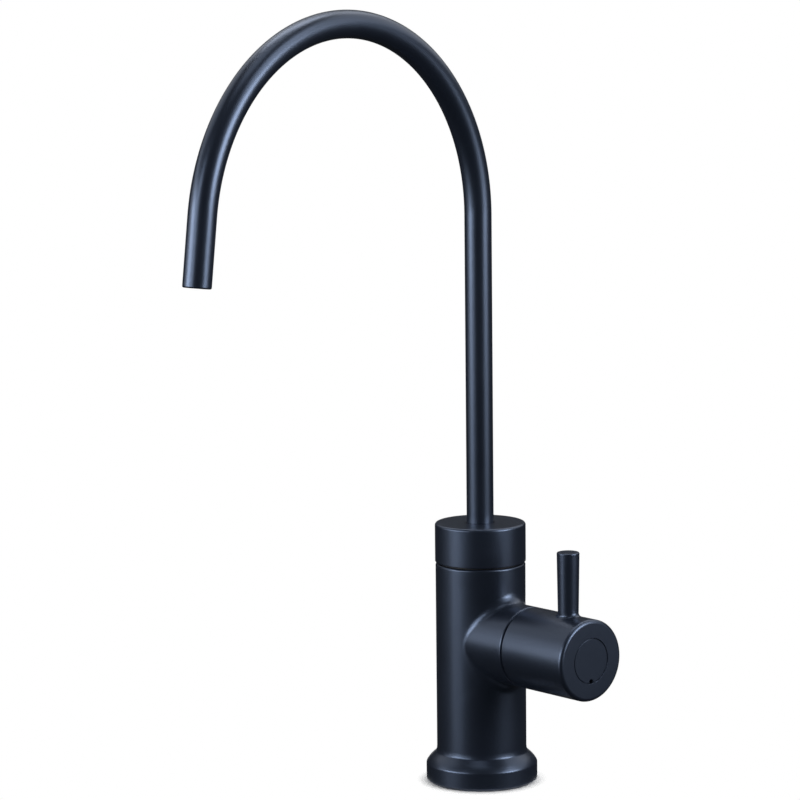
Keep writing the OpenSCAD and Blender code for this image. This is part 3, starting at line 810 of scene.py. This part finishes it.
grained("turned_brass", dark=(0.50, 0.34, 0.13), light=(0.70, 0.52, 0.25), rough=0.30, metal=1.0,
        scale=900, depth=0.00003, stretch=TURNED,
        nodes=("valve_housing", "swivel_spigot", "valve_stem"))
grained("bright_steel", dark=(0.46, 0.47, 0.48), light=(0.62, 0.63, 0.64), rough=0.25, metal=1.0,
        scale=1500, depth=0.00002, stretch=EVEN,
        nodes=("retaining_ring", "stem_clip", "handle_screw", "screw_washer"))

# %% Rubber, ceramic and plastic inside
grained("black_rubber", dark=(0.012, 0.012, 0.012), light=(0.028, 0.027, 0.026), rough=0.72,
        metal=0.0, scale=2200, depth=0.00005, stretch=EVEN,
        nodes=("base_gasket", "spout_o_rings", "housing_o_ring", "seat_seal", "stem_o_rings"))
grained("lapped_ceramic", dark=(0.78, 0.77, 0.73), light=(0.88, 0.87, 0.84), rough=0.18,
        metal=0.0, scale=1800, depth=0.00001, stretch=EVEN, nodes=("fixed_disc", "moving_disc"))
grained("slip_plastic", dark=(0.68, 0.68, 0.65), light=(0.80, 0.80, 0.77), rough=0.50, metal=0.0,
        scale=1400, depth=0.00003, stretch=EVEN, nodes=("thrust_washer", "handle_guide_ring"))
grained("dark_slip_plastic", dark=(0.010, 0.010, 0.012), light=(0.020, 0.020, 0.022), rough=0.55,
        metal=0.0, scale=1400, depth=0.00003, stretch=EVEN, nodes=("swivel_washer",))
grained("grey_plastic", dark=(0.15, 0.16, 0.17), light=(0.21, 0.22, 0.23), rough=0.45, metal=0.0,
        scale=1400, depth=0.00003, stretch=EVEN, nodes=("outlet_insert",))

# %% [markdown]
# ## Floor
# The tap stands on a pale floor with white paper behind it. A wide floor would mirror itself in
# the coat and lighten the tap from below. So this one is small and fades out a little way from
# the foot, and only the foot's shadow tells it from the paper.

# %% Floor
FLOOR_R = 0.05
FLOOR_POINTS = 96
FADE_START = 0.0205
FADE_END = 0.0245
FLOOR_DARK = (0.85, 0.85, 0.85)
FLOOR_LIGHT = (0.89, 0.89, 0.89)
SPECKLE_SCALE = 300.0


def ramp(graph, value, start, end):
    """Rises smoothly from 0 at the start to 1 at the end."""
    return graph.node("ShaderNodeMapRange", {"interpolation_type": "SMOOTHSTEP"},
                      {"Value": value, "From Min": start, "From Max": end,
                       "To Min": 0.0, "To Max": 1.0})


bpy.ops.object.select_all(action="DESELECT")
bpy.ops.mesh.primitive_circle_add(vertices=FLOOR_POINTS, radius=FLOOR_R, fill_type="NGON")
floor = bpy.context.object
floor.name = "pale_floor"
material, g = new_finish("pale_floor")
where = g.node("ShaderNodeTexCoord", {}, {}, "Object")
away = g.node("ShaderNodeVectorMath", {"operation": "LENGTH"}, {0: where}, "Value")
fade = ramp(g, away, FADE_START, FADE_END)
speckle = g.node("ShaderNodeTexNoise", {}, {"Vector": where, "Scale": SPECKLE_SCALE})
paint = g.node("ShaderNodeBsdfDiffuse", {}, {"Color": between(g, speckle, FLOOR_DARK, FLOOR_LIGHT)})
clear = g.node("ShaderNodeBsdfTransparent", {}, {})
surface = g.node("ShaderNodeMixShader", {}, {0: fade, 1: paint, 2: clear})
g.node("ShaderNodeOutputMaterial", {}, {"Surface": surface})
wear(floor, material)
print("floor fades out at", FADE_END, "m")

# %% [markdown]
# ## White paper and the room
# A white world all round would wash out a dark coat, because it mirrors everything. So the paper
# lies only behind the tap and below its sight line, and a mirrored ray meets it only there. Rays
# that go straight to the camera see it everywhere, and scattered light gets an even, weak glow.

# %% World
AMBIENT = 0.2
ROOM = 0.02
PAPER_OUTSIDE = 0.96
PAPER_INSIDE = 0.99
PAPER_TOP = 0.0
PAPER_FULL = -0.06

world = bpy.data.worlds.new("studio")
bpy.context.scene.world = world
world.use_nodes = True
g = Graph(world.node_tree)
way = g.node("ShaderNodeTexCoord", {}, {}, "Generated")
behind = g.node("ShaderNodeVectorMath", {"operation": "DOT_PRODUCT"}, {0: way, 1: ahead}, "Value")
rise = g.node("ShaderNodeVectorMath", {"operation": "DOT_PRODUCT"}, {0: way, 1: UP}, "Value")
paper = ramp(g, behind, PAPER_OUTSIDE, PAPER_INSIDE) * ramp(g, rise, PAPER_TOP, PAPER_FULL)
seen = g.node("ShaderNodeLightPath", {}, {}, "Is Camera Ray")
mirrored = g.node("ShaderNodeLightPath", {}, {}, "Is Glossy Ray")
through = g.node("ShaderNodeLightPath", {}, {}, "Is Transmission Ray")
scattered = 1 - (seen + mirrored + through)
strength = seen + (mirrored + through) * (paper + ROOM) + scattered * AMBIENT
background = g.node("ShaderNodeBackground", {}, {"Color": (1, 1, 1, 1), "Strength": strength})
g.node("ShaderNodeOutputWorld", {}, {"Surface": background})
print("room", ROOM, "glow", AMBIENT)

# %% [markdown]
# ## Soft boxes
# The coat shows what it mirrors. A picture of a studio round the tap would light it too, but
# boxes can be set one by one. A big box left and right of the camera each gives one of the two
# long bands on tube and column. Weaker boxes beside, above and below them widen the bands and
# carry them down to the foot. Broad, dim ones behind at both sides, three at the back and one
# overhead draw the arch's crown, the foot's slope and the flat tops. The room behind the camera
# stays dark and gives the dark middle.

# %% Soft boxes
AIM = Vector((0, -0.03, 0.13))
BOX_DISTANCE = 1.0
# Turn and rise in degrees, width and height in metres, and brightness.
BOXES = {
    "left_box": (-68, 8, 0.50, 0.40, 8.2),
    "left_front_box": (-42, 14, 0.26, 0.60, 3.75),
    "left_side_box": (-94, 10, 0.36, 0.60, 1.2),
    "left_back_box": (-122, 40, 1.10, 0.70, 0.7),
    "left_low_box": (-65, -15, 0.55, 0.16, 1.4),
    "right_box": (65, 14, 0.54, 0.36, 10.6),
    "right_high_box": (66, 38, 0.50, 0.50, 2.6),
    "right_low_box": (66, -4, 0.70, 0.16, 1.6),
    "right_back_box": (120, 38, 1.30, 0.70, 1.05),
    "back_box": (180, 50, 1.00, 0.36, 1.0),
    "back_high_box": (180, 70, 0.60, 0.30, 4.8),
    "back_low_box": (180, 20, 0.60, 0.30, 0.11),
    "top_box": (0, 80, 0.50, 0.50, 1.05),
}


def soft_box(name, turn, rise, width, tall, brightness):
    """A box at a turn to the right of the camera's side and a rise above the tap's middle."""
    light = bpy.data.lights.new(name, "AREA")
    light.shape = "RECTANGLE"
    light.size, light.size_y = width, tall
    light.energy = brightness * math.pi * width * tall
    box = bpy.data.objects.new(name, light)
    bpy.context.scene.collection.objects.link(box)
    side, up = CAMERA_SIDE + math.radians(turn), math.radians(rise)
    way = Vector((math.sin(side) * math.cos(up), -math.cos(side) * math.cos(up), math.sin(up)))
    box.location = AIM + way * BOX_DISTANCE
    box.rotation_euler = (-way).to_track_quat("-Z", "Y").to_euler()
    box.visible_camera = False


for name, values in BOXES.items():
    soft_box(name, *values)

# %% [markdown]
# ## Hand over
# A film look would soften the bright bands, but colours would no longer show as they are written,
# so the picture is shown as it is.

# %% View
bpy.context.scene.view_settings.view_transform = "Standard"
